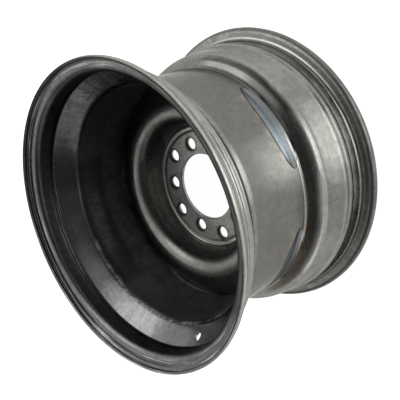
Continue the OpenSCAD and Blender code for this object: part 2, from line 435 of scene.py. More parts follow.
disc = {
    "thickness": 0.0052,
    "backspace": 0.108,  # height of the hub face
    "boreRadius": 0.0476,
    "boreChamfer": 0.0008,
    "padRadius": 0.0795,
    "grooveDepth": 0.0016,
    "grooveRun": 0.0036,
    "bowlRadius": 0.0886,
    "bowlFoot": 0.004,
    "crownRadius": 0.1135,
    "crownHeight": 0.0372,  # over the pad
    "crownBend": 0.018,
    "skirtBend": 0.008,
    "skirtTop": 0.0134,  # over the pad
    "skirtHeight": 0.0154,
    "skirtClear": 0.0001,  # gap to the rim
    "padBend": 0.0062,
    "fineBand": (-0.0002, 0.003, 0.0009),  # heights from the groove that are meshed finely, and the step
    "sharpEdge": 35.0,
}

padZ = disc["backspace"] + disc["thickness"]
grooveZ = padZ - disc["grooveDepth"]
crownMid = Vector((disc["crownRadius"], padZ + disc["crownHeight"] - disc["crownBend"]))
bowlFoot = Vector((disc["bowlRadius"], grooveZ))
skirtRadius = landRadius - disc["skirtClear"]
skirtCorner = Vector((skirtRadius, padZ + disc["skirtTop"]))
skirtEdgeZ = skirtCorner.y - disc["skirtHeight"]


def discPath():
    innerTouch = touchAngle(crownMid, disc["crownBend"], bowlFoot, -1) % 360
    outerTouch = touchAngle(crownMid, disc["crownBend"], skirtCorner, 1)
    crownIn = crownMid + disc["crownBend"] * turned(Vector((1, 0)), innerTouch)
    crownOut = crownMid + disc["crownBend"] * turned(Vector((1, 0)), outerTouch)
    chamfer = disc["boreChamfer"]
    boreEdge = Vector((disc["boreRadius"] + chamfer, padZ))
    skirtEdge = Vector((skirtRadius, skirtEdgeZ))
    padChain = [
        (disc["padRadius"], padZ, disc["padBend"]),
        (disc["padRadius"] + disc["grooveRun"], grooveZ, rim["humpBend"]),
        (bowlFoot.x, bowlFoot.y, disc["bowlFoot"]),
    ]
    up, out = Vector((0, 1)), Vector((1, 0))
    return (
        [(boreEdge, up)]
        + bends(padChain, boreEdge, crownIn)
        + roundRun(crownMid, disc["crownBend"], innerTouch, outerTouch)
        + bend(crownOut, skirtCorner, skirtEdge, disc["skirtBend"])
        + [(skirtEdge, out)]
    )


boltHoles = {
    "count": 5,
    "smallCircle": 0.0635,
    "largeCircle": 0.06985,
    "radius": 0.008,
    "coneDepth": 0.0026,
    "coneAngle": 60.0,
    "flatRadius": 0.013,  # flat around each hole of the large circle
    "flatSoft": 0.0012,
    "flatStart": 0.076,  # radius where the flats begin
    "flatClear": 0.001,  # kept between the flats and the wall of the bowl
    "grooveClear": 0.0004,  # depth under the groove that still counts as the upper face
    "cutPast": 0.002,  # how far the cutters reach past the sheet
    "corners": 64,
    "turn": 0.4,  # degrees, so that no corner of a hole falls on a line of the spin
}


def boltPlaces():
    pitch = 360 / boltHoles["count"]
    for i in range(boltHoles["count"]):
        yield around(boltHoles["smallCircle"], i * pitch)
        yield around(boltHoles["largeCircle"], (i + 0.5) * pitch)


def raiseSeatFlats(piece):
    between = (boltHoles["smallCircle"] + boltHoles["largeCircle"]) / 2
    seats = [p for p in boltPlaces() if p.length > between]
    flatEnd = disc["bowlRadius"] - boltHoles["flatClear"]
    soft = boltHoles["flatSoft"]
    editPiece(piece)
    mesh = bmesh.from_edit_mesh(piece.data)
    for v in mesh.verts:
        r = math.hypot(v.co.x, v.co.y)
        if v.co.z < grooveZ - boltHoles["grooveClear"] or not boltHoles["flatStart"] < r < flatEnd:
            continue
        gap = min((Vector((v.co.x, v.co.y, 0)) - s).length for s in seats) - boltHoles["flatRadius"]
        raised = padZ - disc["grooveDepth"] * smoothStep(-soft, soft, gap)
        v.co.z = max(v.co.z, min(raised, padZ))
    bmesh.update_edit_mesh(piece.data)
    leaveEdit()


def cutBoltHoles(piece):
    spread = math.tan(math.radians(boltHoles["coneAngle"] / 2))
    over = boltHoles["cutPast"]
    for low, high, lowRadius, highRadius in (
        (disc["backspace"] - over, padZ + over, boltHoles["radius"], boltHoles["radius"]),
        (padZ - boltHoles["coneDepth"], padZ + over, boltHoles["radius"],
         boltHoles["radius"] + (boltHoles["coneDepth"] + over) * spread),
    ):
        cutters = []
        for place in boltPlaces():
            deselectAll()
            bpy.ops.mesh.primitive_cone_add(
                vertices=boltHoles["corners"], radius1=lowRadius, radius2=highRadius, depth=high - low,
                location=(place.x, place.y, (low + high) / 2),
                rotation=(0, 0, math.radians(boltHoles["turn"])),
            )
            cutters.append(bpy.context.object)
        cutWith(piece, joined(cutters))


def makeDisc():
    outline = sheetOutline(discPath(), disc["thickness"])
    chamfer = disc["boreChamfer"]
    bore = [
        Vector((disc["boreRadius"] + chamfer, disc["backspace"])),
        Vector((disc["boreRadius"], disc["backspace"] + chamfer)),
        Vector((disc["boreRadius"], padZ - chamfer)),
    ]
    below, above, step = disc["fineBand"]
    outline = refined(outline[:-1] + bore, (grooveZ + below, grooveZ + above, step))
    piece = spinSection("pressed_disc", outline)
    raiseSeatFlats(piece)
    cutBoltHoles(piece)
    smoothByAngle(piece, disc["sharpEdge"])
    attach(piece, "root")
    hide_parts("wheel_disc")
    print("wheel: disc,", len(piece.data.polygons), "faces")
    return piece


pressedDisc = makeDisc()


# Weld beads under the edge of the skirt

beads = {
    "length": 0.084,
    "leg": 0.0048,  # down the rim's wall
    "foot": 0.0042,  # along the skirt's edge
    "bulge": 0.0006,
    "faceSteps": 8,
    "ripplePitch": 0.0028,
    "ripple": 0.00022,
    "rippleLean": 0.25,  # how much later a ripple is at the root, in pitches
    "rippleFade": 0.001,  # depth over which the ripples grow from the joint's edges
    "steps": 150,
    "sharpEdge": 50.0,
}


def makeBeads():
    angle = beads["length"] / landRadius
    toe = Vector((landRadius, skirtEdgeZ - beads["leg"]))
    root = Vector((landRadius - beads["foot"], skirtEdgeZ))
    face = (root - toe).normalized()
    out = -leftOf(face)
    rounded = []
    for i in range(1, beads["faceSteps"]):
        t = i / beads["faceSteps"]
        rounded.append(toe.lerp(root, t) + out * beads["bulge"] * 4 * t * (1 - t))
    outline = [Vector((landRadius, skirtEdgeZ)), toe] + rounded + [root]
    first = spinSection("weld_bead_runs", outline, angle, beads["steps"])
    editPiece(first)
    mesh = bmesh.from_edit_mesh(first.data)
    for v in mesh.verts:
        r = math.hypot(v.co.x, v.co.y)
        along = math.atan2(v.co.y, v.co.x) * landRadius
        here = Vector((r, v.co.z))
        depth = min(landRadius - r, skirtEdgeZ - v.co.z)
        if depth > sectionDetail["mergeGap"]:
            wave = (along / beads["ripplePitch"] + beads["rippleLean"] * depth / beads["foot"]) % 1.0
            grow = beads["ripple"] * (2 * wave - 1) * min(1.0, depth / beads["rippleFade"])
            moved = here + out * grow
            v.co.x *= moved.x / r
            v.co.y *= moved.x / r
            v.co.z = moved.y
    for e in mesh.edges:
        e.select_set(len(e.link_faces) == 1)
    bmesh.update_edit_mesh(first.data)
    bpy.ops.mesh.edge_face_add()
    bpy.ops.mesh.select_all(action="SELECT")
    bpy.ops.mesh.normals_make_consistent(inside=False)
    leaveEdit()
    first.data.transform(Matrix.Rotation(-angle / 2, 4, "Z"))
    copies = [first]
    for i in range(1, pressMarks["count"]):
        pick(first)
        bpy.ops.object.duplicate()
        bpy.context.object.data.transform(Matrix.Rotation(i * markPitch, 4, "Z"))
        copies.append(bpy.context.object)
    joined(copies)
    smoothByAngle(first, beads["sharpEdge"])
    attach(first, "root")
    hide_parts("weld_beads")
    print("wheel: beads,", len(first.data.polygons), "faces")
    return first


weldRuns = makeBeads()


# Materials

def addNode(tree, kind, sockets=None, **settings):
    made = tree.nodes.new("ShaderNode" + kind)
    for name, value in settings.items():
        setattr(made, name, value)
    for key, value in (sockets or {}).items():
        if isinstance(value, bpy.types.NodeSocket):
            tree.links.new(value, made.inputs[key])
        else:
            made.inputs[key].default_value = value
    return made


def calc(tree, operation, *values):
    made = addNode(tree, "Math", dict(enumerate(values)), operation=operation)
    return made.outputs[0]


def fade(tree, value, low, high, start=0.0, end=1.0):
    made = addNode(
        tree, "MapRange",
        {"Value": value, "From Min": low, "From Max": high, "To Min": start, "To Max": end},
        interpolation_type="SMOOTHSTEP",
    )
    return made.outputs["Result"]


def blendColour(tree, factor, a, b, mode="MIX"):
    made = addNode(tree, "Mix", data_type="RGBA", blend_type=mode)
    for key, value in (("Factor_Float", factor), ("A_Color", a), ("B_Color", b)):
        socket = next(s for s in made.inputs if s.identifier == key)
        if isinstance(value, bpy.types.NodeSocket):
            tree.links.new(value, socket)
        else:
            socket.default_value = value
    return next(s for s in made.outputs if s.identifier == "Result_Color")


def product(tree, *values):
    result = values[0]
    for value in values[1:]:
        result = calc(tree, "MULTIPLY", result, value)
    return result


def hypotenuse(tree, a, b):
    return calc(tree, "SQRT", calc(tree, "MULTIPLY_ADD", a, a, calc(tree, "MULTIPLY", b, b)))


def dotProduct(tree, a, b):
    made = addNode(tree, "VectorMath", {0: a, 1: b}, operation="DOT_PRODUCT")
    return made.outputs["Value"]


def partTurn(tree, turns):
    # how far it is from the nearest whole turn, -0.5 to 0.5
    return calc(tree, "SUBTRACT", calc(tree, "FRACT", calc(tree, "ADD", turns, 0.5)), 0.5)


def emptyTree(owner):
    owner.use_nodes = True
    owner.node_tree.nodes.clear()
    return owner.node_tree


def wheelCoordinates(tree):
    # radius, height and angle about the axle, from Object coordinates, and which side of the sheet it is
    place = addNode(tree, "TexCoord").outputs["Object"]
    x, y, z = addNode(tree, "SeparateXYZ", {0: place}).outputs
    radius = hypotenuse(tree, x, y)
    east, north = calc(tree, "DIVIDE", x, radius), calc(tree, "DIVIDE", y, radius)
    outward = addNode(tree, "CombineXYZ", {0: east, 1: north}).outputs[0]
    normal = addNode(tree, "NewGeometry").outputs["Normal"]
    facing = dotProduct(tree, normal, outward)
    soft = 0.1  # the two sides blend where the surface faces along the axle
    return {
        "place": place, "radius": radius, "height": z, "angle": calc(tree, "ARCTAN2", y, x),
        "east": east, "north": north,
        "outside": fade(tree, facing, -soft, soft), "inside": fade(tree, facing, soft, -soft),
    }


def within(tree, value, low, high, soft):
    # 1 between low and high, fading out over the soft edge
    return calc(tree, "MULTIPLY", fade(tree, value, low - soft, low), fade(tree, value, high + soft, high))


def sector(tree, at, start, end, soft):
    # 1 between two angles about the axle, in degrees
    middle, half = math.radians((start + end) / 2), math.radians((end - start) / 2)
    local = partTurn(tree, calc(tree, "DIVIDE", calc(tree, "SUBTRACT", at["angle"], middle), 2 * math.pi))
    off = calc(tree, "MULTIPLY", calc(tree, "ABSOLUTE", local), 2 * math.pi)
    return fade(tree, off, half + math.radians(soft), half)


def rollingLines(tree, at, fineness, reach, detail=4.0):
    # noise that is fine across the sheet and long around the axle
    vector = addNode(tree, "CombineXYZ", {
        0: calc(tree, "MULTIPLY", at["radius"], fineness),
        1: calc(tree, "MULTIPLY", at["east"], reach),
        2: calc(tree, "MULTIPLY", at["north"], reach),
    }).outputs[0]
    noise = addNode(tree, "TexNoise", {
        "Vector": vector, "W": calc(tree, "MULTIPLY", at["height"], fineness),
        "Scale": 1.0, "Detail": detail, "Roughness": 0.6,
    }, noise_dimensions="4D")
    return noise.outputs[0]


def axleStreaks(tree, at, fineness, reach):
    # noise that is fine around the axle and long along it
    vector = addNode(tree, "CombineXYZ", {
        0: calc(tree, "MULTIPLY", at["east"], fineness),
        1: calc(tree, "MULTIPLY", at["north"], fineness),
        2: calc(tree, "MULTIPLY", at["height"], reach),
    }).outputs[0]
    return addNode(tree, "TexNoise", {
        "Vector": vector, "Scale": 1.0, "Detail": 3.0, "Roughness": 0.65,
    }).outputs[0]


def cloud(tree, at, scale, detail=4.0, roughness=0.55):
    noise = addNode(tree, "TexNoise", {
        "Vector": at["place"], "Scale": scale, "Detail": detail, "Roughness": roughness,
    })
    return noise.outputs[0]


def clouded(tree, at, scale, *levels):
    # clouds of one scale, faded between two of their levels
    return fade(tree, cloud(tree, at, scale), *levels)


steelLook = {
    "rim": (0.267, 0.267, 0.247, 1),
    "rimDark": (0.192, 0.192, 0.178, 1),
    "disc": (0.297, 0.295, 0.28, 1),
    "discDark": (0.209, 0.207, 0.196, 1),
    "weld": (0.098, 0.097, 0.09, 1),
    "weldDark": (0.06, 0.057, 0.053, 1),
    "blue": (0.21, 0.245, 0.275, 1),
    "straw": (0.3, 0.235, 0.165, 1),
    # near-black steel, for dark marks and for painted shade
    "darkAndShade": (0.05, 0.049, 0.045, 1),
    # pale steel, for wear and for painted highlights
    "wornAndHighlight": (0.42, 0.415, 0.4, 1),
    # paler steel, for pale lines, a worn line and painted highlights
    "bright": (0.62, 0.62, 0.6, 1),
    "inside": (0.82, 0.84, 0.88, 1),  # multiplies the steel inside the barrel
    "edgeOn": (0.6, 0.6, 0.6, 1),  # dulls the steel where it is seen edge on
}


def toned(tree, colour, area, tone):
    # lays one of the tones over an area
    return blendColour(tree, area, colour, steelLook[tone])


steelGrain = {
    "lines": (700.0, 2.0),  # rolling lines: fineness across the sheet, reach around the axle
    "dashes": (420.0, 22.0, 3.0),  # the same, and detail
    "smear": 26.0,  # scales of the clouds
    "speck": (420.0, 3.0),
    "mottle": (130.0, 3.0, 0.6),
    "smearTone": (0.3, 0.75, 0.0, 0.55),  # two levels of a pattern, and how far it darkens the steel there
    "lineTone": (0.3, 0.7, 0.0, 0.45),
    "mottleTone": (0.35, 0.65, -0.3, 0.3),
    "dashTone": (0.6, 0.72, 0.0, 0.4),
    "smearRough": (0.3, 0.7, -0.04, 0.06),  # two levels, and what is added to the roughness there
    "dashRough": (0.4, 0.7, -0.02, 0.06),
    "lineBump": 0.6,
    "speckBump": 0.4,
    "bumpHeight": 0.0002,
}


def bareSteel(name, light, dark, rough, grain):
    material = bpy.data.materials.new(name)
    tree = emptyTree(material)
    shader = addNode(tree, "BsdfPrincipled", {
        "Metallic": 1.0, "Specular Tint": steelLook["edgeOn"],
    })
    addNode(tree, "OutputMaterial", {0: shader.outputs[0]})
    at = wheelCoordinates(tree)
    lines = rollingLines(tree, at, *steelGrain["lines"])
    dashes = rollingLines(tree, at, *steelGrain["dashes"])
    smear = cloud(tree, at, steelGrain["smear"])
    speck = cloud(tree, at, *steelGrain["speck"])
    mottle = cloud(tree, at, *steelGrain["mottle"])
    smearTone = fade(tree, smear, *steelGrain["smearTone"])
    lineTone = fade(tree, lines, *steelGrain["lineTone"])
    mottleTone = fade(tree, mottle, *steelGrain["mottleTone"])
    tone = calc(tree, "ADD", calc(tree, "ADD", smearTone, lineTone), mottleTone)
    colour = blendColour(tree, tone, light, dark)
    colour = toned(tree, colour, fade(tree, dashes, *steelGrain["dashTone"]), "darkAndShade")
    smearRough = calc(tree, "ADD", fade(tree, smear, *steelGrain["smearRough"]), rough)
    roughness = calc(tree, "ADD", smearRough, fade(tree, dashes, *steelGrain["dashRough"]))
    height = calc(
        tree, "ADD", calc(tree, "MULTIPLY", lines, steelGrain["lineBump"]),
        calc(tree, "MULTIPLY", speck, steelGrain["speckBump"]),
    )
    bump = addNode(tree, "Bump", {
        "Strength": grain, "Distance": steelGrain["bumpHeight"], "Height": height,
    })
    tree.links.new(bump.outputs[0], shader.inputs["Normal"])
    tree.links.new(roughness, shader.inputs["Roughness"])
    tree.links.new(colour, shader.inputs["Base Color"])
    return material, tree, shader, at, colour, roughness


def markField(tree, at):
    # the same distance to the edge of a press mark as markDistance, and the height from its ends
    local = partTurn(tree, calc(tree, "DIVIDE", at["angle"], markPitch))
    across = calc(tree, "SUBTRACT", at["height"], pressMarks["tipZ"])
    streetSide = calc(tree, "GREATER_THAN", across, 0.0)
    long, brakeHalf = pressMarks["length"] / 2, pressMarks["brakeHalf"]
    wide = calc(tree, "MULTIPLY_ADD", streetSide, pressMarks["streetHalf"] - brakeHalf, brakeHalf)
    power = pressMarks["roundness"]
    u = calc(tree, "MULTIPLY", calc(tree, "ABSOLUTE", local), markPitch * wellRadius / long)
    v = calc(tree, "DIVIDE", calc(tree, "ABSOLUTE", across), wide)
    uPart, vPart = calc(tree, "POWER", u, power - 1), calc(tree, "POWER", v, power - 1)
    total = calc(tree, "ADD", calc(tree, "MULTIPLY", uPart, u), calc(tree, "MULTIPLY", vPart, v))
    size = calc(tree, "MAXIMUM", calc(tree, "POWER", total, 1 / power), pressMarks["leastSize"])
    rate = hypotenuse(tree, calc(tree, "DIVIDE", uPart, long), calc(tree, "DIVIDE", vPart, wide))
    growth = calc(tree, "MULTIPLY", calc(tree, "POWER", size, 1 - power), rate)
    growth = calc(tree, "MAXIMUM", growth, 1 / long)
    return calc(tree, "DIVIDE", calc(tree, "SUBTRACT", size, 1.0), growth), across


heatTintsAndShade = {
    # a pair is where a tint ends and where it is full; clouds are a scale, two levels and the values there
    "reach": (0.014, 0.007),  # radius over the floor of the well
    "wander": (90.0, 0.3, 0.7, -0.004, 0.004),  # clouds: how far the edge of a halo wanders
    "blueEdge": (-0.0005, -0.003),  # distance from the edge of a mark
    "creaseSoft": 0.001,
    "creaseBlue": (0.4, 0.9),  # strength of the blue below and above the crease
    "streetHalo": (0.016, 0.002),  # distance from the edge of a mark
    "streetSide": (0.002, 0.01),  # height from a mark's ends
    "streetClouds": (75.0, 0.42, 0.62),
    "brakeHalo": (0.013, 0.003),
    "brakeSide": (-0.004, -0.009),
    "brakeSector": (-95, -50, 12),  # angles of the one mark that has this halo, and their softness
    "haloStrength": 0.65,
    "haloBlue": (85.0, 0.52, 0.6),  # clouds: where a halo is blue and not straw
    # painted shade along the edge of a mark, stronger on its street side
    "outlineMiddle": 0.0004,
    "outline": (0.0016, 0.0005),
    "outlineSide": (-0.006, 0.0, 0.35, 0.8),  # heights from a mark's ends, and the strengths there
}


def tintAndShadeMarks(tree, at, colour):
    # heat colours of the welds behind the press marks, and painted shade along the edge of each mark
    distance, across = markField(tree, at)
    end, full = heatTintsAndShade["reach"]
    onWell = product(tree, fade(tree, at["radius"], wellRadius + end, wellRadius + full), at["outside"])
    warped = calc(tree, "ADD", distance, clouded(tree, at, *heatTintsAndShade["wander"]))
    crease, soft = pressMarks["creaseZ"] - pressMarks["tipZ"], heatTintsAndShade["creaseSoft"]
    nearSlope = fade(tree, across, crease - soft, crease + soft, *heatTintsAndShade["creaseBlue"])
    blue = product(tree, fade(tree, distance, *heatTintsAndShade["blueEdge"]), onWell, nearSlope)
    streetHalo = product(
        tree, fade(tree, warped, *heatTintsAndShade["streetHalo"]), fade(tree, across, *heatTintsAndShade["streetSide"]),
        clouded(tree, at, *heatTintsAndShade["streetClouds"]),
    )
    brakeHalo = product(
        tree, fade(tree, warped, *heatTintsAndShade["brakeHalo"]), fade(tree, across, *heatTintsAndShade["brakeSide"]),
        sector(tree, at, *heatTintsAndShade["brakeSector"]),
    )
    halo = product(tree, calc(tree, "ADD", streetHalo, brakeHalo), onWell, heatTintsAndShade["haloStrength"])
    # painted shade along the edge of the mark
    offEdge = calc(tree, "ABSOLUTE", calc(tree, "SUBTRACT", distance, heatTintsAndShade["outlineMiddle"]))
    outline = fade(tree, offEdge, *heatTintsAndShade["outline"])
    edge = product(tree, outline, onWell, fade(tree, across, *heatTintsAndShade["outlineSide"]))
    haloBlue = clouded(tree, at, *heatTintsAndShade["haloBlue"])
    tint = blendColour(tree, haloBlue, steelLook["straw"], steelLook["blue"])
    colour = blendColour(tree, halo, colour, tint)
    colour = toned(tree, colour, blue, "blue")
    return toned(tree, colour, edge, "darkAndShade")


rubs = {
    "softAngle": 9.0,  # degrees over which a rubbed place fades out
    "softHeight": 0.002,
    "streaks": (0.36, 0.62),  # levels of a pattern between which it is rubbed bright
}


def rubPatches(tree, at, colour, patches, side, streaks):
    # places rubbed bright in streaks
    bare = fade(tree, streaks, *rubs["streaks"])
    for start, end, low, high, strength in patches:
        rubbed = product(
            tree, sector(tree, at, start, end, rubs["softAngle"]),
            within(tree, at["height"], low, high, rubs["softHeight"]), side, bare, strength,
        )
        colour = toned(tree, colour, rubbed, "wornAndHighlight")
    return colour


rimTones = {
    # clouds are a scale, two levels and the values there
    "rough": 0.23,
    "grain": 0.16,
    "well": 0.6,  # how far the floor of the well is darkened
    "wellEdge": (0.0022, 0.0008),  # radius over the floor where that ends, and where it is full
    "wellSoft": 0.004,
    "seamAngle": -40.0,
    "seamWidth": 0.35,  # degrees
    "seamSoft": 0.4,
    "seamStrength": 0.2,
    "warmWidth": 22.0,  # degrees beside the seam that are a little warmer
    "warmSoft": 1.0,
    "warmClouds": (40.0, 0.4, 0.65, 0.0, 0.06),
    "streetFlange": (0.266, 0.27),  # heights between which the rolling lines of the street flange set in
    "flangeLines": (420.0, 3.0, 3.0),  # fineness, reach and detail
    "darkLines": (0.47, 0.6, 0.0, 0.5),  # two levels of the lines, and the strengths there
    "paleLines": (0.47, 0.36, 0.0, 0.95),
    "bands": [
        # painted highlight and painted shade in bands around the outside: low and high edge, tone and
        # strength
        (0.241, 0.2475, "wornAndHighlight", 0.2),
        (0.2736, 0.2756, "bright", 0.25),
        (0.2355, 0.24, "wornAndHighlight", 0.3),
        (0.1085, 0.122, "darkAndShade", 0.14),
        (0.042, 0.0465, "wornAndHighlight", 0.12),
        (0.0165, 0.033, "wornAndHighlight", 0.7),
        (-0.002, 0.0112, "darkAndShade", 0.5),
    ],
    "bandSoft": 0.0006,
    "patches": [
        # painted highlight and painted shade in patches: start and end angle, low and high edge, softness of
        # its edges, tone, strength and side
        (130, 194, 0.172, 0.21, 0.006, "darkAndShade", 0.65, "inside"),
        (-60, 26, 0.258, 0.2785, 0.003, "darkAndShade", 0.65, "inside"),
        (145, 182, 0.215, 0.237, 0.004, "wornAndHighlight", 0.55, "inside"),
        (-50, -6, 0.05, 0.0795, 0.004, "darkAndShade", 0.3, "outside"),
        (8, 46, 0.096, 0.0995, 0.0015, "bright", 0.65, "outside"),
        (4, 50, 0.088, 0.0935, 0.0015, "darkAndShade", 0.35, "outside"),
        (4, 40, 0.1022, 0.105, 0.001, "darkAndShade", 0.4, "outside"),
        (5, 65, 0.01205, 0.0127, 0.0001, "bright", 0.85, "outside"),
        (5, 65, 0.0145, 0.0175, 0.0008, "darkAndShade", 0.4, "outside"),
        (-75, -12, 0.1054, 0.107, 0.0006, "bright", 0.5, "outside"),
        (-48, -8, 0.0826, 0.084, 0.0006, "bright", 0.2, "outside"),
        (-70, -4, 0.0875, 0.093, 0.003, "bright", 0.5, "outside"),
    ],
    "patchSoft": 8.0,  # degrees
    "rubbed": [
        # start and end angle, low and high edge, strength
        (146, 174, 0.183, 0.203, 0.25),
        (92, 120, 0.214, 0.238, 0.5),
        (36, 84, 0.214, 0.238, 1.6),
        (203, 223, 0.214, 0.238, 0.3),
    ],
    "rubStreaks": (95.0, 24.0),  # fineness around the axle, reach along it
    "rubClouds": (190.0, 0.3, 0.6, 0.75, 1.1),
    "wornFoot": (172, 300, 4.0),  # angles of the bright line at the foot of the wall, and their softness
    "wornFootZ": (0.2098, 0.2142, 0.0006),  # its heights, and their softness
    "wornFootWander": (130.0, 0.3, 0.7, -0.0012, 0.0012),  # clouds: how far its edges wander
    "wornFootClouds": (45.0, 0.4, 0.6, 0.3, 0.95),
    "brakeFlangeZ": (0.03, 0.022),  # height where the brake flange's scuffs end, and where they are full
    "brakeFlange": (0.19, 0.194),  # the same for the radius
    "brakeLip": (0.2045, 0.2015, 0.3, 1.0),  # radii where the lip is scuffed less, and the strengths there
    "scuffs": (110.0, 3.0, 0.7),  # scale, detail and roughness of these scuffs
    "scuffLevels": (0.5, 0.68, 0.35, 1.0),
    "flangeDull": 0.16,  # added to the roughness of the scuffed flange
    "barrelEdge": (0.002, 0.001),  # radius over the inner wall where the wear ends, and where it is full
    "barrelTop": (0.185, 0.15),  # the same for the height
    "barrelClouds": (60.0, 0.35, 0.6, 0.1, 0.6),
    "deepDull": 0.2,  # added to the roughness of the barrel and of the bright line
    "seatBack": (0.247, 0.262, 0.006),  # heights behind the bead seat, and their softness
    "seatBackDull": 0.09,
}


def darkWellAndSeam(tree, at, colour):
    # a darker floor of the well, heat tints with painted shade at the press marks, and the ground cross weld
    # of the hoop
    end, full = rimTones["wellEdge"]
    onFloor = product(
        tree, at["outside"], fade(tree, at["radius"], wellRadius + end, wellRadius + full),
        within(tree, at["height"], brakeFoot.y, flareEnd.y, rimTones["wellSoft"]), rimTones["well"],
    )
    colour = toned(tree, colour, onFloor, "weld")
    colour = tintAndShadeMarks(tree, at, colour)
    angle = rimTones["seamAngle"]
    onSeam = sector(tree, at, angle, angle + rimTones["seamWidth"], rimTones["seamSoft"])
    seam = product(tree, onSeam, at["outside"], rimTones["seamStrength"])
    colour = toned(tree, colour, seam, "darkAndShade")
    warmSide = product(
        tree, sector(tree, at, angle - rimTones["warmWidth"], angle, rimTones["warmSoft"]), at["outside"],
        clouded(tree, at, *rimTones["warmClouds"]),
    )
    return toned(tree, colour, warmSide, "straw")


def streetFlangeLines(tree, at, colour):
    onFlange = product(tree, fade(tree, at["height"], *rimTones["streetFlange"]), at["inside"])
    lines = rollingLines(tree, at, *rimTones["flangeLines"])
    for levels, tone in ((rimTones["darkLines"], "weld"), (rimTones["paleLines"], "bright")):
        colour = toned(tree, colour, product(tree, onFlange, fade(tree, lines, *levels)), tone)
    return colour


def bandsAndPatches(tree, at, colour):
    # painted highlight and painted shade, in bands around the outside and then in patches
    for low, high, tone, strength in rimTones["bands"]:
        onBand = within(tree, at["height"], low, high, rimTones["bandSoft"])
        colour = toned(tree, colour, product(tree, onBand, at["outside"], strength), tone)
    for start, end, low, high, soft, tone, strength, side in rimTones["patches"]:
        patch = product(
            tree, sector(tree, at, start, end, rimTones["patchSoft"]),
            within(tree, at["height"], low, high, soft), at[side], strength,
        )
        colour = toned(tree, colour, patch, tone)
    broken = clouded(tree, at, *rimTones["rubClouds"])
    streaks = product(tree, axleStreaks(tree, at, *rimTones["rubStreaks"]), broken)
    return rubPatches(tree, at, colour, rimTones["rubbed"], at["inside"], streaks)


def rimSteel():
    material, tree, shader, at, colour, roughness = bareSteel(
        "rim_bare_steel", steelLook["rim"], steelLook["rimDark"], rimTones["rough"], rimTones["grain"],
    )
    colour = darkWellAndSeam(tree, at, colour)
    colour = blendColour(tree, at["inside"], colour, steelLook["inside"], "MULTIPLY")
    colour = streetFlangeLines(tree, at, colour)
    colour = bandsAndPatches(tree, at, colour)
    footZ = calc(tree, "ADD", at["height"], clouded(tree, at, *rimTones["wornFootWander"]))
    wornFoot = product(
        tree, sector(tree, at, *rimTones["wornFoot"]), within(tree, footZ, *rimTones["wornFootZ"]),
        at["inside"], clouded(tree, at, *rimTones["wornFootClouds"]),
    )
    colour = toned(tree, colour, wornFoot, "bright")
    flange = product(
        tree, fade(tree, at["height"], *rimTones["brakeFlangeZ"]),
        fade(tree, at["radius"], *rimTones["brakeFlange"]),
    )
    scuffs = fade(tree, cloud(tree, at, *rimTones["scuffs"]), *rimTones["scuffLevels"])
    scuffed = product(tree, flange, scuffs, fade(tree, at["radius"], *rimTones["brakeLip"]))
    colour = toned(tree, colour, scuffed, "wornAndHighlight")
    end, full = rimTones["barrelEdge"]
    barrel = product(tree, at["inside"], fade(tree, at["radius"], wellInner + end, wellInner + full))
    barrelWorn = product(
        tree, barrel, clouded(tree, at, *rimTones["barrelClouds"]),
        fade(tree, at["height"], *rimTones["barrelTop"]),
    )
    colour = toned(tree, colour, barrelWorn, "wornAndHighlight")
    seatBack = product(tree, within(tree, at["height"], *rimTones["seatBack"]), at["inside"])
    for area, dull in (
        (flange, rimTones["flangeDull"]),
        (calc(tree, "MAXIMUM", barrel, wornFoot), rimTones["deepDull"]),
        (seatBack, rimTones["seatBackDull"]),
    ):
        roughness = calc(tree, "MULTIPLY_ADD", area, dull, roughness)
    tree.links.new(roughness, shader.inputs["Roughness"])
    tree.links.new(colour, shader.inputs["Base Color"])
    return material


discTones = {
    "rough": 0.3,
    "grain": 0.15,
    "face": (0.121, 0.127),  # radii between which the face turns dark, painted shade in the hollow by the rim
    "faceDark": 0.75,
    "crownSlope": (0.106, 0.0975),  # radius where the painted shade on the crown's inner slope ends and is full
    "crownSlopeZ": (0.008, 0.016),  # heights over the pad between which it sets in
    "crownDark": 0.38,
    "padZ": (-0.003, -0.001),  # heights from the pad between which its brushing sets in
    "padEdge": 0.001,
    "padLines": (500.0, 9.0, 3.0),  # fineness, reach and detail
    "padBright": (0.4, 0.62, 0.1, 0.7),  # two levels of the lines, and the strengths there
    "holeSeat": 0.0015,  # width of the cone seat of a bolt hole
    "holeRing": (0.004, 0.0005),  # distance from the seat where its dark ring ends, and where it is full
    "holeDark": 0.7,
    "footLine": (0.0832, 0.0852, 0.0008),  # radii of the painted highlight at the foot of the bowl, and softness
    "footLineZ": (0.004, 0.002),  # height over the pad where it ends, and where it is full
    "footLineClouds": (30.0, 0.4, 0.6, 0.3, 1.0),  # scale, two levels and the strengths there
    "rubbed": [
        # start and end angle, low and high edge, strength: scuffs on the wall of the bowl
        (143, 156, 0.1315, 0.1345, 0.9),
        (169, 176, 0.1325, 0.135, 0.9),
        (186, 193, 0.131, 0.136, 0.7),
    ],
    "bowl": (0.102, 0.0995),  # radius where the scuffs end, and where they are full
    "bowlLines": (700.0, 6.0, 2.0),
}


def holeDistance(tree, at, circle, phase):
    # distance from the seat of the nearest bolt hole of one circle
    pitch = 2 * math.pi / boltHoles["count"]
    turns = calc(tree, "SUBTRACT", calc(tree, "DIVIDE", at["angle"], pitch), phase)
    local = calc(tree, "MULTIPLY", partTurn(tree, turns), pitch)
    ahead = calc(tree, "SUBTRACT", calc(tree, "MULTIPLY", at["radius"], calc(tree, "COSINE", local)), circle)
    aside = calc(tree, "MULTIPLY", at["radius"], calc(tree, "SINE", local))
    seatEdge = boltHoles["radius"] + discTones["holeSeat"]
    return calc(tree, "SUBTRACT", hypotenuse(tree, ahead, aside), seatEdge)


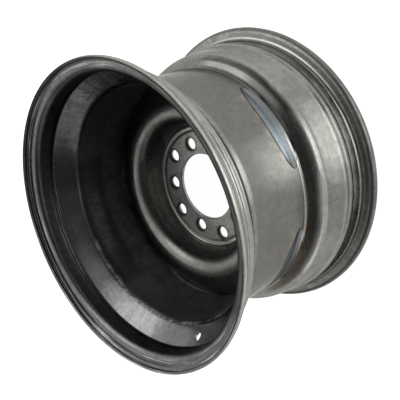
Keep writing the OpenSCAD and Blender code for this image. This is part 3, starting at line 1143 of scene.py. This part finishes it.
def discSteel():
    material, tree, shader, at, colour, _ = bareSteel(
        "disc_bare_steel", steelLook["disc"], steelLook["discDark"], discTones["rough"], discTones["grain"],
    )
    overPad = calc(tree, "SUBTRACT", at["height"], padZ)
    # painted shade on the face between the crown and the rim
    face = fade(tree, at["radius"], *discTones["face"], 0.0, discTones["faceDark"])
    colour = toned(tree, colour, face, "darkAndShade")
    # painted shade on the crown's inner slope
    slope = product(
        tree, fade(tree, at["radius"], *discTones["crownSlope"]),
        fade(tree, overPad, *discTones["crownSlopeZ"]), discTones["crownDark"],
    )
    colour = toned(tree, colour, slope, "darkAndShade")
    onPad = fade(tree, overPad, *discTones["padZ"])
    brushed = fade(tree, rollingLines(tree, at, *discTones["padLines"]), *discTones["padBright"])
    onBolts = fade(tree, at["radius"], disc["padRadius"], disc["padRadius"] - discTones["padEdge"])
    colour = toned(tree, colour, product(tree, brushed, onPad, onBolts), "wornAndHighlight")
    nearHole = calc(
        tree, "MINIMUM", holeDistance(tree, at, boltHoles["smallCircle"], 0.0),
        holeDistance(tree, at, boltHoles["largeCircle"], 0.5),
    )
    ring = product(tree, fade(tree, nearHole, *discTones["holeRing"]), onPad, discTones["holeDark"])
    colour = toned(tree, colour, ring, "darkAndShade")
    # painted highlight at the foot of the bowl
    footLine = product(
        tree, within(tree, at["radius"], *discTones["footLine"]),
        fade(tree, overPad, *discTones["footLineZ"]), clouded(tree, at, *discTones["footLineClouds"]),
    )
    colour = toned(tree, colour, footLine, "bright")
    onBowl = product(tree, at["inside"], fade(tree, at["radius"], *discTones["bowl"]))
    scratches = rollingLines(tree, at, *discTones["bowlLines"])
    colour = rubPatches(tree, at, colour, discTones["rubbed"], onBowl, scratches)
    tree.links.new(colour, shader.inputs["Base Color"])
    return material


weldTones = {
    "rough": 0.45,
    "grain": 0.15,
}


def weldMetal():
    return bareSteel(
        "weld_bare_metal", steelLook["weld"], steelLook["weldDark"], weldTones["rough"], weldTones["grain"],
    )[0]


def setMaterial(piece, material):
    piece.data.materials.clear()
    piece.data.materials.append(material)


setMaterial(rolledRim, rimSteel())
setMaterial(pressedDisc, discSteel())
setMaterial(weldRuns, weldMetal())
print("wheel: materials")


# Camera, light and floor

cameraView = {
    "place": (0.67145, -0.17696, 0.7554),
    "aim": (0.00256, -0.01545, 0.1388),
    "roll": 112.97,  # degrees that the picture's up leans from the axle
    "lens": 60.05,  # with the sensor's width in millimetres
    "sensor": 36.0,
    "clip": (0.01, 50.0),
}


def makeCamera():
    data = bpy.data.cameras.new("photo_view")
    camera = bpy.data.objects.new("photo_view", data)
    bpy.context.scene.collection.objects.link(camera)
    place, aim = Vector(cameraView["place"]), Vector(cameraView["aim"])
    ahead = (aim - place).normalized()
    right = ahead.cross(Vector((0, 0, 1))).normalized()
    up = right.cross(ahead)
    lean = math.radians(cameraView["roll"])
    pictureUp = up * math.cos(lean) + right * math.sin(lean)
    pictureRight = ahead.cross(pictureUp)
    turn = Matrix((pictureRight, pictureUp, -ahead)).transposed()
    camera.matrix_world = Matrix.Translation(place) @ turn.to_4x4()
    data.lens = cameraView["lens"]
    data.sensor_width = cameraView["sensor"]
    data.clip_start, data.clip_end = cameraView["clip"]
    bpy.context.scene.camera = camera


studio = {
    "softboxes": [
        # name, azimuth and elevation in degrees, distance, width, height, radiance, height of its aim
        ("overhead_box", 80, 43, 1.6, 1.1, 1.1, 1.1, 0.139),
        ("back_box", -127, 30, 1.6, 1.45, 0.6, 0.3, 0.2),
        ("low_strip", -18, -0.5, 1.3, 0.8, 0.2, 2.2, 0.1),
        ("low_box", 27, 5, 1.4, 0.5, 0.34, 0.9, 0.1),
        ("front_box", -52, 13, 1.5, 0.75, 0.5, 0.3, 0.1),
    ],
    "floorCards": [
        # glowing cards on the floor: nearest and farthest distance from the axle, width, radiance
        (0.225, 0.31, 0.13, 2.4),
        (0.5, 1.8, 0.36, 1.9),
    ],
    "cardShares": (1.5, 1.0, 0.6),  # a card is three lamps, these shares of its width, so its edge is soft
    "cardLift": 0.001,
    "cardAzimuth": -16,
    "litWay": (120, 50),  # azimuth and elevation of the lit side of the room
    "litSpread": (0.35, 0.98),  # cosines from that way between which the room grows bright
    "roomLit": 0.95,
    "roomUnlit": 0.06,
    "horizonGlow": 0.3,
    "horizonRise": 0.45,  # sine of the elevation where that glow ends
    "floorColour": (0.5, 0.5, 0.5, 1),
    "floorGlow": 0.96,
    "floorSize": 60.0,
}


def wayOf(azimuth, elevation):
    level = math.cos(math.radians(elevation))
    return around(level, azimuth, math.sin(math.radians(elevation)))


def makeLamp(name, width, height, radiance, place, turn):
    data = bpy.data.lights.new(name, "AREA")
    data.shape = "RECTANGLE"
    data.size, data.size_y = width, height
    data.energy = radiance * math.pi * width * height
    lamp = bpy.data.objects.new(name, data)
    bpy.context.scene.collection.objects.link(lamp)
    lamp.location = place
    lamp.rotation_euler = turn


def makeLights():
    for name, azimuth, elevation, distance, width, height, radiance, aimZ in studio["softboxes"]:
        aim = Vector((0, 0, aimZ))
        place = aim + wayOf(azimuth, elevation) * distance
        makeLamp(name, width, height, radiance, place, (aim - place).to_track_quat("-Z", "Y").to_euler())
    turn = (math.pi, 0, math.radians(studio["cardAzimuth"]))
    for i, (near, far, width, radiance) in enumerate(studio["floorCards"]):
        part = radiance / len(studio["cardShares"])
        for k, share in enumerate(studio["cardShares"]):
            place = around((near + far) / 2, studio["cardAzimuth"], studio["cardLift"] * (k + 1))
            makeLamp(f"floor_card_{i}_{k}", far - near, width * share, part, place, turn)


def seenWhite(tree):
    # 1 where the camera, a gloss or a clear surface looks at the background
    path = addNode(tree, "LightPath").outputs
    gloss = calc(tree, "MAXIMUM", path["Is Glossy Ray"], path["Is Transmission Ray"])
    return calc(tree, "MAXIMUM", path["Is Camera Ray"], gloss)


def makeWorld():
    # a room that is lit from above on one side and unlit on the other, with a paler horizon
    world = bpy.data.worlds.new("studio")
    bpy.context.scene.world = world
    tree = emptyTree(world)
    way = addNode(tree, "TexCoord").outputs["Generated"]
    facing = dotProduct(tree, way, wayOf(*studio["litWay"]))
    lit = fade(tree, facing, *studio["litSpread"], studio["roomUnlit"], studio["roomLit"])
    rise = addNode(tree, "SeparateXYZ", {0: way}).outputs["Z"]
    level = calc(tree, "ADD", lit, fade(tree, rise, studio["horizonRise"], 0.0, 0.0, studio["horizonGlow"]))
    room = addNode(tree, "Background", {"Color": (1, 1, 1, 1), "Strength": level})
    addNode(tree, "OutputWorld", {0: room.outputs[0]})


def makeFloor():
    deselectAll()
    bpy.ops.mesh.primitive_plane_add(size=studio["floorSize"], location=(0, 0, 0))
    floor = bpy.context.object
    floor.name = "studio_floor"
    material = bpy.data.materials.new("floor_paper")
    tree = emptyTree(material)
    paper = addNode(tree, "BsdfDiffuse", {"Color": studio["floorColour"]})
    level = calc(tree, "MULTIPLY", seenWhite(tree), studio["floorGlow"])
    glow = addNode(tree, "Emission", {"Strength": level})
    both = addNode(tree, "AddShader", {0: paper.outputs[0], 1: glow.outputs[0]})
    addNode(tree, "OutputMaterial", {0: both.outputs[0]})
    setMaterial(floor, material)


makeCamera()
makeLights()
makeWorld()
makeFloor()
bpy.context.scene.view_settings.view_transform = "Standard"
print("wheel: camera, light and floor")
